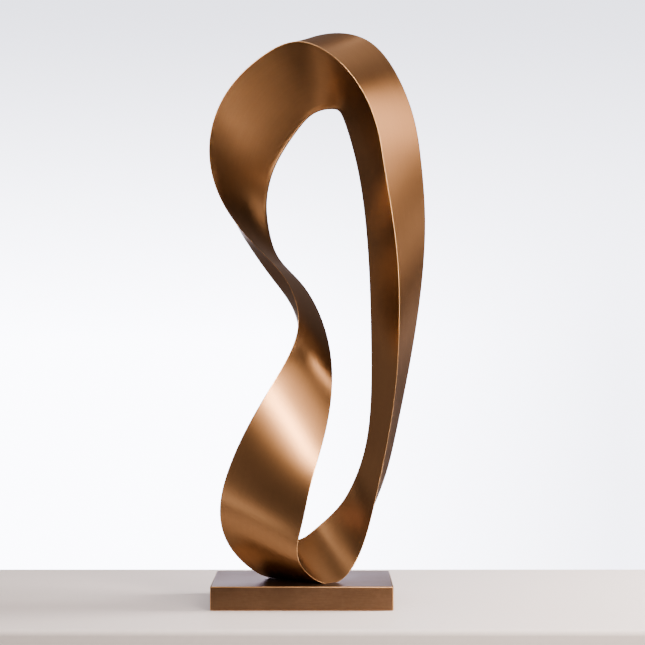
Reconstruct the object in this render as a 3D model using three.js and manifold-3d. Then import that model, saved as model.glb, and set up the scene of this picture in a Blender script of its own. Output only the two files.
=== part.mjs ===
// Abstract sculpture: one closed loop of cast bronze with a three-edged section, on a bronze plinth.
// The section turns by a third of a turn on its way round, so the loop has one single edge that
// passes each place three times before it closes on itself, and one single face.
// Millimetres, +Z up. The origin is the middle of the plinth's underside, the front looks to -Y.

import * as THREE from 'three';
import { mergeVertices } from 'three/addons/utils/BufferGeometryUtils.js';
import Module from 'manifold-3d';

// Driving dimensions
const loopHeight = 588; // plinth's top to the crown of the loop
const plinthLength = 190;
const plinthDepth = 130;
const plinthHeight = 25;
const plinthChamfer = 1.2;
const crispEdge = 1.2; // width taken off each side of a crisp edge of the loop
const softEdge = 15; // the same where the edge over the hole is rubbed round
const footCut = 1.2; // how much of the loop's underside is dressed flat to stand on
const seatGap = 0.3; // clearance between the dressed foot and the plinth

// Stations along the loop: up the right leg, over the crown, down the left, through the waist,
// down the broad belly and under it back to the start. Each row holds the three edges' places as
// thousandths of the loop's height, from the middle of the plinth's top: [x, y, z].
const stations = [
  [[44, -73, 1], [-66, 10, 3], [-8, -27, 76]],
  [[89, -29, 21], [-7, 71, 10], [24, 10, 92]],
  [[114, -7, 72], [75, 95, 44], [62, 37, 125]],
  [[132, 7, 140], [140, 100, 141], [93, 56, 173]],
  [[157, 11, 260], [173, 100, 254], [118, 64, 255]],
  [[175, 5, 425], [208, 90, 437], [124, 72, 434]],
  [[169, -1, 616], [228, 82, 643], [113, 78, 628]],
  [[148, -8, 751], [220, 76, 768], [93, 79, 757]],
  [[117, -17, 868], [183, 70, 909], [65, 72, 844]],
  [[73, -28, 930], [124, 66, 986], [54, 66, 850]],
  [[-3, -29, 972], [20, 72, 996], [23, 68, 841]],
  [[-73, -34, 945], [-61, 80, 948], [-5, 75, 811]],
  [[-145, -40, 865], [-115, 88, 858], [-43, 84, 749]],
  [[-168, -34, 776], [-138, 92, 769], [-57, 92, 697]],
  [[-141, -16, 676], [-130, 84, 667], [-55, 98, 642]],
  [[-90, -8, 610], [-102, 62, 611], [-41, 98, 587]],
  [[-33, -22, 548], [-57, 40, 547], [2, 86, 536]],
  [[-7, -46, 478], [-16, 18, 486], [40, 64, 462]],
  [[-24, -60, 409], [-4, -8, 406], [55, 3, 373]],
  [[-77, -85, 318], [-20, -31, 309], [42, -58, 267]],
  [[-127, -88, 217], [-51, -44, 213], [16, -99, 176]],
  [[-147, -75, 130], [-52, -41, 141], [0, -109, 105]],
  [[-127, -41, 58], [-38, -34, 92], [-4, -99, 44]],
];

// Where the third edge starts to soften, is roundest, starts to sharpen and is crisp again, as
// shares of the way round the loop.
const softening = { starts: 0.14, full: 0.5, ends: 0.64, crisp: 0.8 };

// Fineness of the faceted solid
const sections = 190;
const cornerSteps = 3;
const faceSteps = 2;
const splineSweeps = 80;

const laps = 3;
const widestShare = 0.45; // the most of a face's width that one corner's rounding takes

const bronze = (color) => new THREE.MeshStandardMaterial({ color, roughness: 0.38, metalness: 1 });

function smoothShare(low, high, value) {
  const share = THREE.MathUtils.clamp((value - low) / (high - low), 0, 1);
  return share * share * (3 - 2 * share);
}

// A closed cubic spline through the values, with continuous curvature. The knots hold one entry
// more than the values: the last one closes the curve.
function closedSpline(knots, values) {
  const count = values.length;
  const step = values.map((value, i) => knots[i + 1] - knots[i]);
  const slope = values.map((value, i) => (values[(i + 1) % count] - value) / step[i]);
  const bend = new Array(count).fill(0);
  for (let sweep = 0; sweep < splineSweeps; sweep += 1) {
    for (let i = 0; i < count; i += 1) {
      const before = (i + count - 1) % count;
      const after = (i + 1) % count;
      const pull = 6 * (slope[i] - slope[before]);
      const neighbours = step[before] * bend[before] + step[i] * bend[after];
      bend[i] = (pull - neighbours) / (2 * (step[before] + step[i]));
    }
  }
  return (at) => {
    const along = THREE.MathUtils.euclideanModulo(at, knots[count]);
    let i = 0;
    while (i < count - 1 && knots[i + 1] <= along) i += 1;
    const after = (i + 1) % count;
    const x = along - knots[i];
    const rise = slope[i] - (step[i] * (2 * bend[i] + bend[after])) / 6;
    return values[i] + x * (rise + x * (bend[i] / 2 + (x * (bend[after] - bend[i])) / (6 * step[i])));
  };
}

// Knots of one lap, from 0 to 1, spaced as the middles of the sections are.
function lapKnots() {
  const middles = stations.map((row) => {
    const middle = new THREE.Vector3();
    row.forEach((place) => middle.add(new THREE.Vector3(...place)));
    return middle.divideScalar(row.length);
  });
  const knots = [0];
  middles.forEach((middle, i) => {
    knots.push(knots[i] + middle.distanceTo(middles[(i + 1) % middles.length]));
  });
  return knots.map((knot) => knot / knots[middles.length]);
}

// The single edge, as a function of the laps travelled, 0 to 3.
function edgeCurve() {
  const oneLap = lapKnots().slice(0, -1);
  const knots = [];
  const places = [];
  for (let lap = 0; lap < laps; lap += 1) {
    stations.forEach((row, i) => {
      knots.push(lap + oneLap[i]);
      places.push(row[lap]);
    });
  }
  knots.push(laps);
  const thousandth = loopHeight / 1000;
  const axes = [0, 1, 2].map((axis) => closedSpline(knots, places.map((place) => place[axis])));
  return (at) => new THREE.Vector3(...axes.map((axis) => axis(at) * thousandth));
}

// How far back from a corner its rounding starts.
function roundingAt(at) {
  const share = at - (laps - 1);
  const rising = smoothShare(softening.starts, softening.full, share);
  const falling = 1 - smoothShare(softening.ends, softening.crisp, share);
  return crispEdge + (softEdge - crispEdge) * rising * falling;
}

// One section of the loop: each corner rounded by a short curve, and straight faces between.
function sectionRing(edge, share) {
  const corners = [0, 1, 2].map((lap) => edge(share + lap));
  const cuts = corners.map((corner, lap) => roundingAt(share + lap));
  const towards = (from, to, cut) => {
    const reach = Math.min(cut / from.distanceTo(to), widestShare);
    return from.clone().lerp(to, reach);
  };
  const ring = [];
  corners.forEach((corner, i) => {
    const before = corners[(i + laps - 1) % laps];
    const next = (i + 1) % laps;
    const start = towards(corner, before, cuts[i]);
    const end = towards(corner, corners[next], cuts[i]);
    const curve = new THREE.QuadraticBezierCurve3(start, corner, end);
    ring.push(...curve.getPoints(cornerSteps));
    const faceEnd = towards(corners[next], corner, cuts[next]);
    for (let k = 1; k < faceSteps; k += 1) {
      ring.push(end.clone().lerp(faceEnd, k / faceSteps));
    }
  });
  return ring;
}

// The whole loop: rings joined one to the next. The last ring joins the first one turned by a
// third, because the section has turned so far by then.
function loopGeometry() {
  const edge = edgeCurve();
  const points = [];
  for (let i = 0; i < sections; i += 1) {
    sectionRing(edge, i / sections).forEach((point) => points.push(point.x, point.y, point.z));
  }
  const around = points.length / 3 / sections;
  const third = around / laps;
  const index = (i, j) => {
    const turned = i < sections ? j : j + third;
    return (i % sections) * around + (turned % around);
  };
  const faces = [];
  for (let i = 0; i < sections; i += 1) {
    for (let j = 0; j < around; j += 1) {
      const a = index(i, j);
      const b = index(i, j + 1);
      const c = index(i + 1, j + 1);
      const d = index(i + 1, j);
      faces.push(a, b, c, a, c, d);
    }
  }
  const geometry = new THREE.BufferGeometry();
  geometry.setAttribute('position', new THREE.Float32BufferAttribute(points, 3));
  geometry.setIndex(faces);
  return geometry;
}

const wasm = await Module();
wasm.setup();

function toSolid(geometry) {
  const plain = geometry.clone();
  plain.deleteAttribute('normal');
  plain.deleteAttribute('uv');
  const merged = mergeVertices(plain, 1e-4);
  const vertProperties = new Float32Array(merged.attributes.position.array);
  const triVerts = new Uint32Array(merged.index.array);
  return new wasm.Manifold(new wasm.Mesh({ numProp: 3, vertProperties, triVerts }));
}

function toGeometry(solid) {
  const mesh = solid.getMesh();
  const geometry = new THREE.BufferGeometry();
  geometry.setAttribute('position', new THREE.BufferAttribute(mesh.vertProperties, 3));
  geometry.setIndex(new THREE.BufferAttribute(mesh.triVerts, 1));
  geometry.computeVertexNormals();
  return geometry;
}

// The loop with its underside dressed flat. The loop's own zero lies a foot cut below the seat.
function ribbonLoop() {
  const raised = loopGeometry().translate(0, 0, plinthHeight + seatGap - footCut);
  const below = new THREE.BoxGeometry(loopHeight, loopHeight, loopHeight);
  below.translate(0, 0, plinthHeight + seatGap - loopHeight / 2);
  const dressed = toSolid(raised).subtract(toSolid(below));
  const loop = new THREE.Mesh(toGeometry(dressed), bronze('#8a5f3f'));
  loop.name = 'ribbon_loop';
  return loop;
}

function plinth() {
  const halfLength = plinthLength / 2 - plinthChamfer;
  const halfDepth = plinthDepth / 2 - plinthChamfer;
  const outline = new THREE.Shape();
  outline.moveTo(-halfLength, -halfDepth);
  outline.lineTo(halfLength, -halfDepth);
  outline.lineTo(halfLength, halfDepth);
  outline.lineTo(-halfLength, halfDepth);
  outline.closePath();
  const plate = new THREE.ExtrudeGeometry(outline, {
    depth: plinthHeight - 2 * plinthChamfer,
    bevelEnabled: true,
    bevelThickness: plinthChamfer,
    bevelSize: plinthChamfer,
    bevelSegments: 1,
  });
  plate.translate(0, 0, plinthChamfer);
  const base = new THREE.Mesh(plate, bronze('#7c5337'));
  base.name = 'plinth';
  return base;
}

const sculpture = new THREE.Group();
sculpture.add(plinth(), ribbonLoop());

export default sculpture;
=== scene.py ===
import math

import bmesh
import bpy
import numpy as np
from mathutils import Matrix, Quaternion, Vector


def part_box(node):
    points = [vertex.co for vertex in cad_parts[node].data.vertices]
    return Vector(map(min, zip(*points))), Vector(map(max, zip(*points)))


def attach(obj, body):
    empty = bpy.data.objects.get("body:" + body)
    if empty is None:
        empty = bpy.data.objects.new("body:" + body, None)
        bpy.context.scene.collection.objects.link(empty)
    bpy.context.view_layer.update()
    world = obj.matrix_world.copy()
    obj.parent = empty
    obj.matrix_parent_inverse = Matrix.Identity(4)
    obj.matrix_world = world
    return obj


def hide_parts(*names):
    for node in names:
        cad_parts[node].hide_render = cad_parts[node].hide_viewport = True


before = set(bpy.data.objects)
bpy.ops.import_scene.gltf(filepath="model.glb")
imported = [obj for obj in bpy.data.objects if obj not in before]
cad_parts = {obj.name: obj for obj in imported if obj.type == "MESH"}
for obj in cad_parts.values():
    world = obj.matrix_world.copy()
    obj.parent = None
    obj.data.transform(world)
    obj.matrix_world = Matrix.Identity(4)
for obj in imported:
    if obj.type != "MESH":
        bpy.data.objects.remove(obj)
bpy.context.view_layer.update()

scene = bpy.context.scene
scene.view_settings.view_transform = "AgX"
scene.view_settings.look = "AgX - Medium High Contrast"


# the camera stands a little right of the plinth's middle, at about half the sculpture's height
cameraSet = {
    "place": (0.0214, -2.0615, 0.2981),
    "lens": 107.8,
    "sensor": 36.0,
}


def makeCamera(values):
    lens = bpy.data.cameras.new("camera")
    lens.lens = values["lens"]
    lens.sensor_width = values["sensor"]
    camera = bpy.data.objects.new("camera", lens)
    camera.location = values["place"]
    camera.rotation_euler = (math.radians(90), 0, 0)   # level, looking along +Y
    scene.collection.objects.link(camera)
    scene.camera = camera


makeCamera(cameraSet)
print("camera placed")


def addNode(tree, kind, place, **values):
    node = tree.nodes.new(kind)
    node.location = place
    for name, value in values.items():
        setattr(node, name, value)
    return node


def feed(tree, socket, value):
    # a plain value is typed into the socket, another node's output is linked to it
    if isinstance(value, (int, float, tuple)):
        socket.default_value = value
    else:
        tree.links.new(value, socket)


def addMath(tree, operation, place, a, b=0.0):
    node = addNode(tree, "ShaderNodeMath", place, operation=operation)
    feed(tree, node.inputs[0], a)
    feed(tree, node.inputs[1], b)
    return node.outputs[0]


def mixColour(tree, place, share, a, b):
    node = addNode(tree, "ShaderNodeMix", place, data_type="RGBA")
    feed(tree, node.inputs[0], share)
    feed(tree, node.inputs[6], a)
    feed(tree, node.inputs[7], b)
    return node.outputs[2]


def mapRange(tree, place, value, fromLow, fromHigh, toLow, toHigh):
    node = addNode(tree, "ShaderNodeMapRange", place)
    feed(tree, node.inputs["Value"], value)
    feed(tree, node.inputs["From Min"], fromLow)
    feed(tree, node.inputs["From Max"], fromHigh)
    feed(tree, node.inputs["To Min"], toLow)
    feed(tree, node.inputs["To Max"], toHigh)
    return node.outputs["Result"]


def noise(tree, place, vector, scale, detail, roughness=0.5):
    node = addNode(tree, "ShaderNodeTexNoise", place)
    feed(tree, node.inputs["Vector"], vector)
    feed(tree, node.inputs["Scale"], scale)
    feed(tree, node.inputs["Detail"], detail)
    feed(tree, node.inputs["Roughness"], roughness)
    return node.outputs["Fac"]


noiseSpread = (0.3, 0.7)   # nearly all of a noise lies between these


def startGroup(name, vector, values, results):
    # a node group with one vector and some values going in, and some values coming out
    group = bpy.data.node_groups.new(name, "ShaderNodeTree")
    face = group.interface
    face.new_socket(name=vector, in_out="INPUT", socket_type="NodeSocketVector")
    for value in values:
        face.new_socket(name=value, in_out="INPUT", socket_type="NodeSocketFloat")
    for result in results:
        face.new_socket(name=result, in_out="OUTPUT", socket_type="NodeSocketFloat")
    inside = addNode(group, "NodeGroupInput", (-1100, 0))
    outside = addNode(group, "NodeGroupOutput", (500, 0))
    return group, inside.outputs, outside.inputs


def patinaGroup():
    # cloudy tone and fine mottling of bronze that was coloured by hand, and its edges, rubbed
    # bright and also painted with a highlight
    group, given, result = startGroup("handPatina", "Vector",
                                      ("Cloud Scale", "Mottle Scale", "Wear And Sheen"),
                                      ("Cloud", "Mottle", "Rubbed And Sheen"))
    clouds = noise(group, (-600, 200), given["Vector"], given["Cloud Scale"], 3.0)
    mottles = noise(group, (-600, -100), given["Vector"], given["Mottle Scale"], 4.0, 0.65)
    cloud = mapRange(group, (-300, 200), clouds, *noiseSpread, 0.0, 1.0)
    mottle = mapRange(group, (-300, -100), mottles, *noiseSpread, 0.0, 1.0)
    broken = mapRange(group, (-100, -300), mottles, 0.35, 0.6, 0.8, 1.0)
    rubbedSheen = addMath(group, "MULTIPLY", (200, -300), given["Wear And Sheen"], broken)
    feed(group, result["Cloud"], cloud)
    feed(group, result["Mottle"], mottle)
    feed(group, result["Rubbed And Sheen"], rubbedSheen)
    return group


handPatina = patinaGroup()


def brushedGroup():
    # fine lines from brushing along the loop: the map's u runs round the loop, v across a face
    group, given, result = startGroup("brushedLines", "Map", ("Along", "Across"), ("Lines",))
    parts = addNode(group, "ShaderNodeSeparateXYZ", (-900, 0))
    feed(group, parts.inputs[0], given["Map"])
    # u goes round a circle in the noise, so the lines meet where the map's ends meet
    turn = addMath(group, "MULTIPLY", (-700, 150), parts.outputs[0], 2 * math.pi)
    eastward = addMath(group, "COSINE", (-500, 250), turn)
    northward = addMath(group, "SINE", (-500, 100), turn)
    east = addMath(group, "MULTIPLY", (-300, 250), eastward, given["Along"])
    north = addMath(group, "MULTIPLY", (-300, 100), northward, given["Along"])
    across = addMath(group, "MULTIPLY", (-300, -50), parts.outputs[1], given["Across"])
    joined = addNode(group, "ShaderNodeCombineXYZ", (-100, 100))
    for socket, value in zip(joined.inputs, (east, north, across)):
        feed(group, socket, value)
    feed(group, result["Lines"], noise(group, (100, 100), joined.outputs[0], 1.0, 3.0, 0.6))
    return group


brushedLines = brushedGroup()


def addGroup(tree, group, place, inputs):
    node = addNode(tree, "ShaderNodeGroup", place, node_tree=group)
    for name, value in inputs.items():
        feed(tree, node.inputs[name], value)
    return node.outputs


def bronzeMaterial(name, values):
    material = bpy.data.materials.new(name)
    material.use_nodes = True
    tree = material.node_tree
    shader = tree.nodes["Principled BSDF"]
    coordinates = addNode(tree, "ShaderNodeTexCoord", (-1400, 0))
    wearAndSheen = addNode(tree, "ShaderNodeAttribute", (-1400, -300), attribute_name="rubbedEdgeSheen")
    patina = addGroup(tree, handPatina, (-1100, 100), {
        "Vector": coordinates.outputs["Object"],
        "Cloud Scale": values["cloudScale"],
        "Mottle Scale": values["mottleScale"],
        "Wear And Sheen": wearAndSheen.outputs["Fac"],
    })
    lines = addGroup(tree, brushedLines, (-1100, -200), {
        "Map": coordinates.outputs["UV"],
        "Along": values["linesAlong"],
        "Across": values["linesAcross"],
    })["Lines"]

    cloud, mottle = patina["Cloud"], patina["Mottle"]
    tone = mixColour(tree, (-800, 300), cloud, values["darkTone"], values["lightTone"])
    fleck = mapRange(tree, (-800, 100), mottle, 0, 1, 0, values["mottle"])
    mottled = mixColour(tree, (-650, 300), fleck, tone, values["mottleTone"])
    brushed = mapRange(tree, (-650, 100), lines, *values["lineSpread"], 0, values["lineTone"])
    streaked = mixColour(tree, (-500, 300), brushed, mottled, values["mottleTone"])
    # the corners are rubbed bright, and this tone also paints the highlight they catch
    edged = mixColour(tree, (-350, 300), patina["Rubbed And Sheen"], streaked, values["rubbedSheenTone"])
    # painted reflection: where a mirroring surface sees the bronze, its colour is painted with
    # another tone, on the loop a duller one, painted shade so the folds don't glow
    rays = addNode(tree, "ShaderNodeLightPath", (-400, 600))
    seen = mixColour(tree, (-200, 300), rays.outputs["Is Glossy Ray"], edged, values["paintedReflectedTone"])
    feed(tree, shader.inputs["Base Color"], seen)
    satin = mapRange(tree, (-800, -100), cloud, 0, 1, *values["roughness"])
    feed(tree, shader.inputs["Roughness"], satin)
    feed(tree, shader.inputs["Metallic"], 1.0)

    bump = addNode(tree, "ShaderNodeBump", (-300, -400))
    feed(tree, bump.inputs["Strength"], values["bump"])
    feed(tree, bump.inputs["Distance"], values["mottleHeight"])
    feed(tree, bump.inputs["Height"], mottle)
    feed(tree, shader.inputs["Normal"], bump.outputs["Normal"])
    return material


loopBronze = bronzeMaterial("loopBronze", {
    "darkTone": (0.52, 0.27, 0.135, 1),
    "lightTone": (0.58, 0.305, 0.155, 1),
    "mottleTone": (0.48, 0.245, 0.12, 1),
    "rubbedSheenTone": (0.95, 0.55, 0.29, 1),
    "paintedReflectedTone": (0.30, 0.22, 0.16, 1),
    "cloudScale": 7.0,
    "mottleScale": 420.0,
    "mottle": 0.25,
    "roughness": (0.29, 0.32),
    "linesAlong": 14.0,
    "linesAcross": 90.0,
    "lineSpread": (0.35, 0.65),
    "lineTone": 0.25,
    "mottleHeight": 0.000005,
    "bump": 0.2,
})
plinthBronze = bronzeMaterial("plinthBronze", {
    "darkTone": (0.30, 0.17, 0.10, 1),
    "lightTone": (0.37, 0.21, 0.125, 1),
    "mottleTone": (0.25, 0.14, 0.08, 1),
    "rubbedSheenTone": (0.85, 0.48, 0.25, 1),
    "paintedReflectedTone": (0.45, 0.34, 0.26, 1),
    "cloudScale": 14.0,
    "mottleScale": 330.0,
    "mottle": 0.5,
    "roughness": (0.34, 0.42),
    "linesAlong": 14.0,
    "linesAcross": 60.0,
    "lineSpread": (0.35, 0.65),
    "lineTone": 0.5,
    "mottleHeight": 0.00003,
    "bump": 0.3,
})
print("bronze materials made")


def meshObject(name, bm, material):
    mesh = bpy.data.meshes.new(name)
    bm.to_mesh(mesh)
    bm.free()
    mesh.materials.append(material)
    made = bpy.data.objects.new(name, mesh)
    scene.collection.objects.link(made)
    return made


laps = 3   # the loop's one edge runs round three times, so each section has three corners

# each station holds the places of the section's three corners, in thousandths of the loop's height
# from the middle of the plinth's top: up the right leg, over the crown, down the left and under
loopSet = {
    "height": 0.588,
    "stations": [
        ((44, -73, 1), (-66, 10, 3), (-8, -27, 76)),
        ((89, -29, 21), (-7, 71, 10), (24, 10, 92)),
        ((114, -7, 72), (75, 95, 44), (62, 37, 125)),
        ((132, 7, 140), (140, 100, 141), (93, 56, 173)),
        ((157, 11, 260), (173, 100, 254), (118, 64, 255)),
        ((175, 5, 425), (208, 90, 437), (124, 72, 434)),
        ((169, -1, 616), (228, 82, 643), (113, 78, 628)),
        ((148, -8, 751), (220, 76, 768), (93, 79, 757)),
        ((117, -17, 868), (183, 70, 909), (65, 72, 844)),
        ((73, -28, 930), (124, 66, 986), (54, 66, 850)),
        ((-3, -29, 972), (20, 72, 996), (23, 68, 841)),
        ((-73, -34, 945), (-61, 80, 948), (-5, 75, 811)),
        ((-145, -40, 865), (-115, 88, 858), (-43, 84, 749)),
        ((-168, -34, 776), (-138, 92, 769), (-57, 92, 697)),
        ((-141, -16, 676), (-130, 84, 667), (-55, 98, 642)),
        ((-90, -8, 610), (-102, 62, 611), (-41, 98, 587)),
        ((-33, -22, 548), (-57, 40, 547), (2, 86, 536)),
        ((-7, -46, 478), (-16, 18, 486), (40, 64, 462)),
        ((-24, -60, 409), (-4, -8, 406), (55, 3, 373)),
        ((-77, -85, 318), (-20, -31, 309), (42, -58, 267)),
        ((-127, -88, 217), (-51, -44, 213), (16, -99, 176)),
        ((-147, -75, 130), (-52, -41, 141), (0, -109, 105)),
        ((-127, -41, 58), (-38, -34, 92), (-4, -99, 44)),
    ],
    "crispEdge": 0.0012,
    "softEdge": 0.015,
    "softening": (0.14, 0.5, 0.64, 0.8),   # starts, full, starts to sharpen, crisp again
    "widestShare": 0.45,    # the most of a face's width that one corner's rounding takes
    "sections": 600,
    "cornerSteps": 4,       # from a corner's middle to its end
    "faceSteps": 10,
    "support": 0.015,       # a row close beside each corner keeps the faces' shading flat
    "weld": 0.000001,       # points closer than this are one, where the loop closes on itself
    "footCut": 0.0012,
    "seatGap": 0.0003,
    "rubbedSheenUpTo": 0.004,    # corners rounder than this are neither rubbed bright nor painted with a highlight
    "rubbedSheenFade": 8,        # how late the rubbed brightness and painted highlight fade towards a corner's ends
}


def loopEdge(values):
    # a closed cubic spline through all the places of the edge, whose curvature never jumps
    stations = np.array(values["stations"], float)
    middles = stations.mean(axis=1)
    steps = np.linalg.norm(np.roll(middles, -1, axis=0) - middles, axis=1)
    lap = (np.cumsum(steps) - steps) / steps.sum()
    places = np.concatenate([stations[:, corner] for corner in range(laps)])
    knots = np.concatenate([lap + turn for turn in range(laps)] + [[laps]])
    count = len(places)
    step = np.diff(knots)
    slope = (np.roll(places, -1, axis=0) - places) / step[:, None]
    matrix = np.zeros((count, count))
    for i in range(count):
        matrix[i, i - 1] += step[i - 1]
        matrix[i, i] += 2 * (step[i - 1] + step[i])
        matrix[i, (i + 1) % count] += step[i]
    bend = np.linalg.solve(matrix, 6 * (slope - np.roll(slope, 1, axis=0)))

    def place(at):
        along = at % laps
        i = min(int(np.searchsorted(knots, along, side="right")) - 1, count - 1)
        after = (i + 1) % count
        x = along - knots[i]
        rise = slope[i] - step[i] * (2 * bend[i] + bend[after]) / 6
        curve = bend[i] / 2 + x * (bend[after] - bend[i]) / (6 * step[i])
        return (places[i] + x * (rise + x * curve)) * values["height"] / 1000

    return place


def smoothShare(low, high, value):
    share = min(max((value - low) / (high - low), 0.0), 1.0)
    return share * share * (3 - 2 * share)


def edgeRounding(values, at):
    # how far back from a corner its rounding starts: only the last lap softens
    starts, full, ends, crisp = values["softening"]
    share = at % laps - (laps - 1)
    soft = smoothShare(starts, full, share) * (1 - smoothShare(ends, crisp, share))
    return values["crispEdge"] + (values["softEdge"] - values["crispEdge"]) * soft


def faceRows(values):
    # from the middle of one corner to the middle of the next: (part, how far along that part)
    steps = values["cornerSteps"]
    corner = [0.5 + 0.5 * k / steps for k in range(steps + 1)]
    support = values["support"]
    flat = [k / values["faceSteps"] for k in range(1, values["faceSteps"])]
    rows = [("leaving", w) for w in corner]
    rows += [("face", w) for w in [support] + flat + [1 - support]]
    return rows + [("arriving", 1 - w) for w in reversed(corner)]


def curvePoint(start, corner, end, w):
    return (1 - w) ** 2 * start + 2 * w * (1 - w) * corner + w * w * end


def sectionPoints(values, edge, share, rows):
    # one section's points, each with how strongly it is rubbed bright and painted with an edge
    # highlight
    corners = [edge(share + lap) for lap in range(laps)]
    cuts = [edgeRounding(values, share + lap) for lap in range(laps)]

    def towards(i, j):
        a, b = corners[i], corners[j]
        return a + (b - a) * min(cuts[i] / np.linalg.norm(b - a), values["widestShare"])

    # a crisp corner is rubbed bright and painted with a highlight, most along its middle
    def rubbedSheen(i, w):
        crispness = 1 - smoothShare(values["crispEdge"], values["rubbedSheenUpTo"], cuts[i])
        return crispness * (1 - abs(2 * w - 1) ** values["rubbedSheenFade"])

    points = []
    for i in range(laps):
        # of three corners, the one before this one is also the one beyond the next
        after, before = (i + 1) % laps, (i + 2) % laps
        leave, arrive = towards(i, after), towards(after, i)
        for part, w in rows[:-1]:
            if part == "leaving":
                spot = curvePoint(towards(i, before), corners[i], leave, w)
                points.append((spot, rubbedSheen(i, w)))
            elif part == "face":
                points.append((leave + (arrive - leave) * w, 0.0))
            else:
                spot = curvePoint(arrive, corners[after], towards(after, before), w)
                points.append((spot, rubbedSheen(after, w)))
    return points


def makeLoop(values, material):
    edge = loopEdge(values)
    rows = faceRows(values)
    around, sections = laps * (len(rows) - 1), values["sections"]
    bm = bmesh.new()
    uv = bm.loops.layers.uv.new("alongAcross")
    wearAndSheen = bm.verts.layers.float.new("rubbedEdgeSheen")
    bmesh.ops.create_grid(bm, x_segments=sections, y_segments=around, size=0.5, calc_uvs=True)

    # the grid's x runs once round the loop and its y once round the section
    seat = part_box("plinth")[1].z + values["seatGap"]
    lift = Vector((0, 0, seat - values["footCut"]))
    rings = [sectionPoints(values, edge, i / sections, rows) for i in range(sections + 1)]
    for face in bm.faces:
        third = int((face.calc_center_median().y + 0.5) * laps)
        for corner in face.loops:
            spot = corner[uv].uv
            corner[uv].uv = ((spot.x + third) / laps, spot.y * laps - third)
    for vert in bm.verts:
        i = round((vert.co.x + 0.5) * sections)
        j = round((vert.co.y + 0.5) * around) % around
        point, vert[wearAndSheen] = rings[i][j]
        vert.co = Vector(point) + lift
    bmesh.ops.remove_doubles(bm, verts=bm.verts, dist=values["weld"])

    # the underside is dressed flat where it stands on the plinth
    everything = bm.verts[:] + bm.edges[:] + bm.faces[:]
    bmesh.ops.bisect_plane(bm, geom=everything, plane_co=(0, 0, seat), plane_no=(0, 0, 1),
                           clear_inner=True)
    rim = [edge for edge in bm.edges if edge.is_boundary]
    foot = bmesh.ops.holes_fill(bm, edges=rim)["faces"]
    bmesh.ops.recalc_face_normals(bm, faces=bm.faces)
    for face in bm.faces:
        face.smooth = True
    for face in foot:
        face.smooth = False
    print("loop:", len(bm.faces), "faces,", len(foot), "foot,",
          sum(not edge.is_manifold for edge in bm.edges), "open edges")
    return meshObject("bronze_loop", bm, material)


loop = makeLoop(loopSet, loopBronze)
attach(loop, "root")
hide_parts("ribbon_loop")
print("loop made")


plinthSet = {
    "edge": 0.0012,
    "edgeSteps": 4,
    "support": 0.0008,      # a row close beside each edge keeps the sides' shading flat
    "smallestSide": 0.001,  # the plate's sides are larger than this, its rounded edges smaller
}


def makePlinth(values, material):
    low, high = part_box("plinth")
    bm = bmesh.new()
    wearAndSheen = bm.verts.layers.float.new("rubbedEdgeSheen")
    bm.loops.layers.uv.new("alongAcross")
    bmesh.ops.create_cube(bm, size=1, calc_uvs=True)
    bmesh.ops.scale(bm, vec=high - low, verts=bm.verts)
    bmesh.ops.translate(bm, vec=(low + high) / 2, verts=bm.verts)
    wornAndSheen = bmesh.ops.bevel(bm, geom=bm.edges[:], offset=values["edge"],
                           segments=values["edgeSteps"], profile=0.5, affect="EDGES",
                           material=-1)["verts"]
    # the rounded edges are rubbed bright and also painted with a highlight
    for vert in wornAndSheen:
        vert[wearAndSheen] = 1.0
    sides = [face for face in bm.faces if face.calc_area() > values["smallestSide"]]
    bmesh.ops.recalc_face_normals(bm, faces=bm.faces)
    for face in bm.faces:
        face.smooth = True
    for face in sides:
        for vert in face.verts:
            vert[wearAndSheen] = 0.0
    bmesh.ops.inset_individual(bm, faces=sides, thickness=values["support"], depth=0.0)
    return meshObject("bronze_plinth", bm, material)


base = makePlinth(plinthSet, plinthBronze)
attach(base, "root")
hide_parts("plinth")
print("plinth made")


# the pale table top that the sculpture stands on
tableSet = {
    "halfWidth": 1.6,
    "front": -0.19,
    "back": 0.275,
    "thick": 0.04,
    "round": 0.006,
    "roundSteps": 6,
    "smallestSide": 0.005,  # the top's sides are larger than this, its rounded edges smaller
    "colour": (0.90, 0.785, 0.74, 1),
    "speckle": (0.873, 0.76145, 0.7178, 1),
    "speckleScale": 160.0,
    "paintedTableReflection": (0.40, 0.38, 0.37, 1),   # painted reflection: the table is painted duller where the bronze mirrors it
    "roughness": 0.5,
}


def tableMaterial(values):
    material = bpy.data.materials.new("paleTop")
    material.use_nodes = True
    tree = material.node_tree
    shader = tree.nodes["Principled BSDF"]
    coordinates = addNode(tree, "ShaderNodeTexCoord", (-900, 0))
    grain = noise(tree, (-700, 0), coordinates.outputs["Object"], values["speckleScale"], 3.0)
    shade = mapRange(tree, (-500, 0), grain, *noiseSpread, 0.0, 1.0)
    tone = mixColour(tree, (-300, 0), shade, values["colour"], values["speckle"])
    rays = addNode(tree, "ShaderNodeLightPath", (-300, 300))
    # painted reflection: mirrored in the bronze, the table shows the duller tone
    seen = mixColour(tree, (-150, 0), rays.outputs["Is Glossy Ray"], tone, values["paintedTableReflection"])
    feed(tree, shader.inputs["Base Color"], seen)
    feed(tree, shader.inputs["Roughness"], values["roughness"])
    return material


def makeTable(values, material):
    bm = bmesh.new()
    bmesh.ops.create_cube(bm, size=1)
    depth = values["back"] - values["front"]
    bmesh.ops.scale(bm, vec=(2 * values["halfWidth"], depth, values["thick"]), verts=bm.verts)
    middle = (0, (values["back"] + values["front"]) / 2, -values["thick"] / 2)
    bmesh.ops.translate(bm, vec=middle, verts=bm.verts)
    bmesh.ops.bevel(bm, geom=bm.edges[:], offset=values["round"], segments=values["roundSteps"],
                    profile=0.5, affect="EDGES", material=-1)
    for face in bm.faces:
        face.smooth = face.calc_area() < values["smallestSide"]
    return meshObject("table_top", bm, material)


table = makeTable(tableSet, tableMaterial(tableSet))
print("table made")


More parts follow.
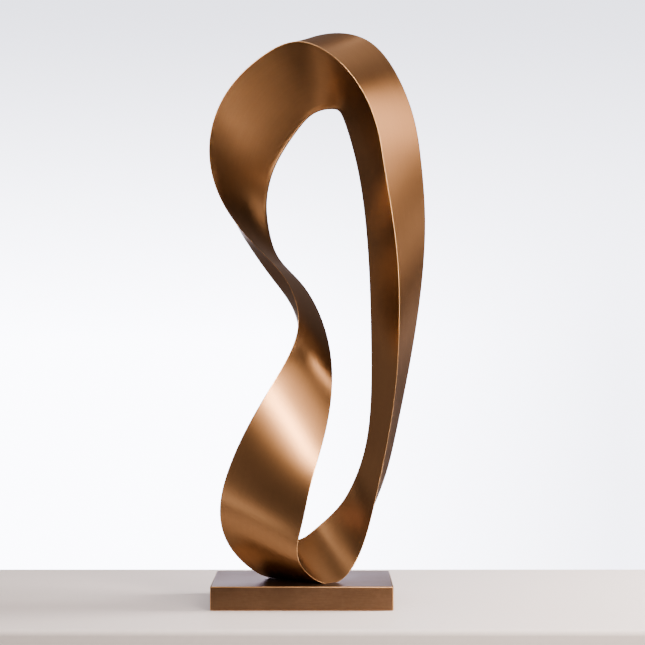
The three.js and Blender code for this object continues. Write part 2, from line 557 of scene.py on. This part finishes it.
lightSet = {
    "aim": (0, 0, 0.25),
    "lamps": [
        # name, bearing from the front towards +X, distance, height, width, length, roll, watts,
        # colour
        ("key", 30, 1.1, 0.56, 0.10, 0.84, 21, 9.4, (1.0, 0.94, 0.86)),
        ("keySurround", 34, 1.1, 0.50, 1.00, 1.00, 0, 2.2, (1.0, 0.92, 0.83)),
        ("keyRight", 56, 1.1, 0.42, 0.60, 0.80, 0, 1.1, (1.0, 0.92, 0.83)),
        ("rim", 95, 1.45, 0.96, 0.30, 0.50, 0, 2.6, (1.0, 0.92, 0.84)),
        ("rimLow", 106, 1.55, 0.38, 0.50, 0.40, 0, 0.58, (1.0, 0.94, 0.88)),
        ("behindRight", 132, 1.65, 0.02, 0.60, 0.50, 0, 0.36, (1.0, 0.96, 0.94)),
        ("highRight", 125, 1.2, 1.75, 1.00, 0.80, 0, 1.2, (1.0, 0.98, 0.96)),
        ("overhead", 0, 0.01, 2.20, 1.40, 1.40, 0, 15.0, (1.0, 0.99, 0.98)),
        ("highLeft", -110, 1.2, 1.70, 1.40, 0.80, 0, 3.9, (1.0, 1.0, 1.0)),
        ("frontLeft", -45, 2.0, 0.65, 0.90, 0.90, 0, 2.0, (1.0, 0.99, 0.98)),
        ("frontLow", -16, 1.9, -0.62, 1.00, 0.35, 0, 2.4, (1.0, 0.97, 0.94)),
        ("left", -100, 1.8, 0.45, 0.80, 1.00, 0, 0.4, (1.0, 0.99, 1.0)),
        ("tableRight", 94, 1.3, 0.44, 0.60, 0.40, 0, 46.0, (1.0, 0.985, 0.985)),
        ("tableAbove", 0, 0.01, 2.20, 1.40, 1.40, 0, 6.0, (1.0, 0.975, 0.97)),
        ("tableFront", -20, 1.6, 1.10, 0.80, 0.80, 0, 7.0, (1.0, 0.985, 0.985)),
    ],
    "onlyTable": ("tableRight", "tableAbove", "tableFront"),
}


def makeLights(values):
    for name, bearing, away, height, width, length, roll, watts, colour in values["lamps"]:
        lamp = bpy.data.lights.new(name, "AREA")
        lamp.shape = "RECTANGLE"
        lamp.size = width
        lamp.size_y = length
        lamp.energy = watts
        lamp.color = colour
        made = bpy.data.objects.new(name, lamp)
        turn = math.radians(bearing)
        place = Vector((away * math.sin(turn), -away * math.cos(turn), height))
        facing = (Vector(values["aim"]) - place).to_track_quat("-Z", "Y")
        made.location = place
        made.rotation_euler = (facing @ Quaternion((0, 0, 1), math.radians(roll))).to_euler()
        made.visible_camera = False
        scene.collection.objects.link(made)
        if name in values["onlyTable"]:
            receivers = bpy.data.collections.new(name)
            receivers.objects.link(table)
            made.light_linking.receiver_collection = receivers


makeLights(lightSet)
print("lights made")


worldSet = {
    # tone of the room in the directions +X, -X, +Y, -Y, +Z, -Z
    "room": (0.01, 0.09, 0.17, 0.09, 0.12, 0.01),
    "roomTint": (1.0, 0.97, 0.99, 1),
    # the bright backdrop as the bronze mirrors it, for directions nearly straight along +Y
    "mirroredFrom": (0.982, 0.998),
    "mirroredTone": 5.1,
    "mirroredTint": (1.0, 0.95, 1.24, 1),
    # the pale backdrop as the camera sees it, with painted light and shade: brightest low down and
    # on the left, shaded towards the right
    "fromHigh": 0.165,
    "toLow": -0.01,
    "falloff": 1.5,
    "topTone": 1.75,
    "lowTone": 5.6,
    "fromLeft": -0.03,
    "toRight": 0.15,
    "rightShade": 0.45,
    "backdropTint": (1.0, 1.01, 1.14, 1),
}


def oneSided(tree, place, value, strength):
    # how far the direction leans to one side, squared, times that side's tone
    leaning = addMath(tree, "MAXIMUM", place, value, 0.0)
    squared = addMath(tree, "MULTIPLY", (place[0] + 180, place[1]), leaning, leaning)
    return addMath(tree, "MULTIPLY", (place[0] + 360, place[1]), squared, strength)


def makeWorld(values):
    world = bpy.data.worlds.new("studio")
    scene.world = world
    world.use_nodes = True
    tree = world.node_tree
    background = tree.nodes["Background"]
    output = tree.nodes["World Output"]
    direction = addNode(tree, "ShaderNodeTexCoord", (-1800, 0))
    split = addNode(tree, "ShaderNodeSeparateXYZ", (-1600, 0))
    feed(tree, split.inputs[0], direction.outputs["Generated"])
    parts = split.outputs

    ahead = mapRange(tree, (-900, 600), parts[1], *values["mirroredFrom"], 0.0, 1.0)
    tint = mixColour(tree, (-500, 800), ahead, values["roomTint"], values["mirroredTint"])
    room = addMath(tree, "MULTIPLY", (-700, 600), ahead, values["mirroredTone"])
    for side in range(3):
        plus, minus = values["room"][2 * side:2 * side + 2]
        opposite = addMath(tree, "MULTIPLY", (-1400, -200 * side), parts[side], -1.0)
        for row, (value, tone) in enumerate(((parts[side], plus), (opposite, minus))):
            lit = oneSided(tree, (-1200, 300 - 300 * side - 120 * row), value, tone)
            room = addMath(tree, "ADD", (-500, 300 - 200 * side - 100 * row), room, lit)
    feed(tree, background.inputs["Color"], tint)
    feed(tree, background.inputs["Strength"], room)

    # painted light and shade on the backdrop: brighter low down, darker towards the right
    low = mapRange(tree, (-900, -600), parts[2], values["fromHigh"], values["toLow"], 0.0, 1.0)
    rightward = mapRange(tree, (-900, -800), parts[0], values["fromLeft"], values["toRight"],
                         0.0, values["rightShade"])
    soft = addMath(tree, "POWER", (-700, -600), low, values["falloff"])
    shaded = addMath(tree, "MULTIPLY", (-700, -800), rightward, soft)
    kept = addMath(tree, "SUBTRACT", (-500, -800), 1.0, shaded)
    tone = mapRange(tree, (-500, -600), soft, 0.0, 1.0, values["topTone"], values["lowTone"])
    seen = addMath(tree, "MULTIPLY", (-300, -600), tone, kept)
    backdrop = addNode(tree, "ShaderNodeBackground", (-100, -250))
    feed(tree, backdrop.inputs["Color"], values["backdropTint"])
    feed(tree, backdrop.inputs["Strength"], seen)
    rays = addNode(tree, "ShaderNodeLightPath", (-100, 300))
    chosen = addNode(tree, "ShaderNodeMixShader", (150, 0))
    shown = (rays.outputs["Is Camera Ray"], background.outputs[0], backdrop.outputs[0])
    for socket, value in zip(chosen.inputs, shown):
        feed(tree, socket, value)
    feed(tree, output.inputs["Surface"], chosen.outputs[0])


makeWorld(worldSet)
print("room and backdrop made")
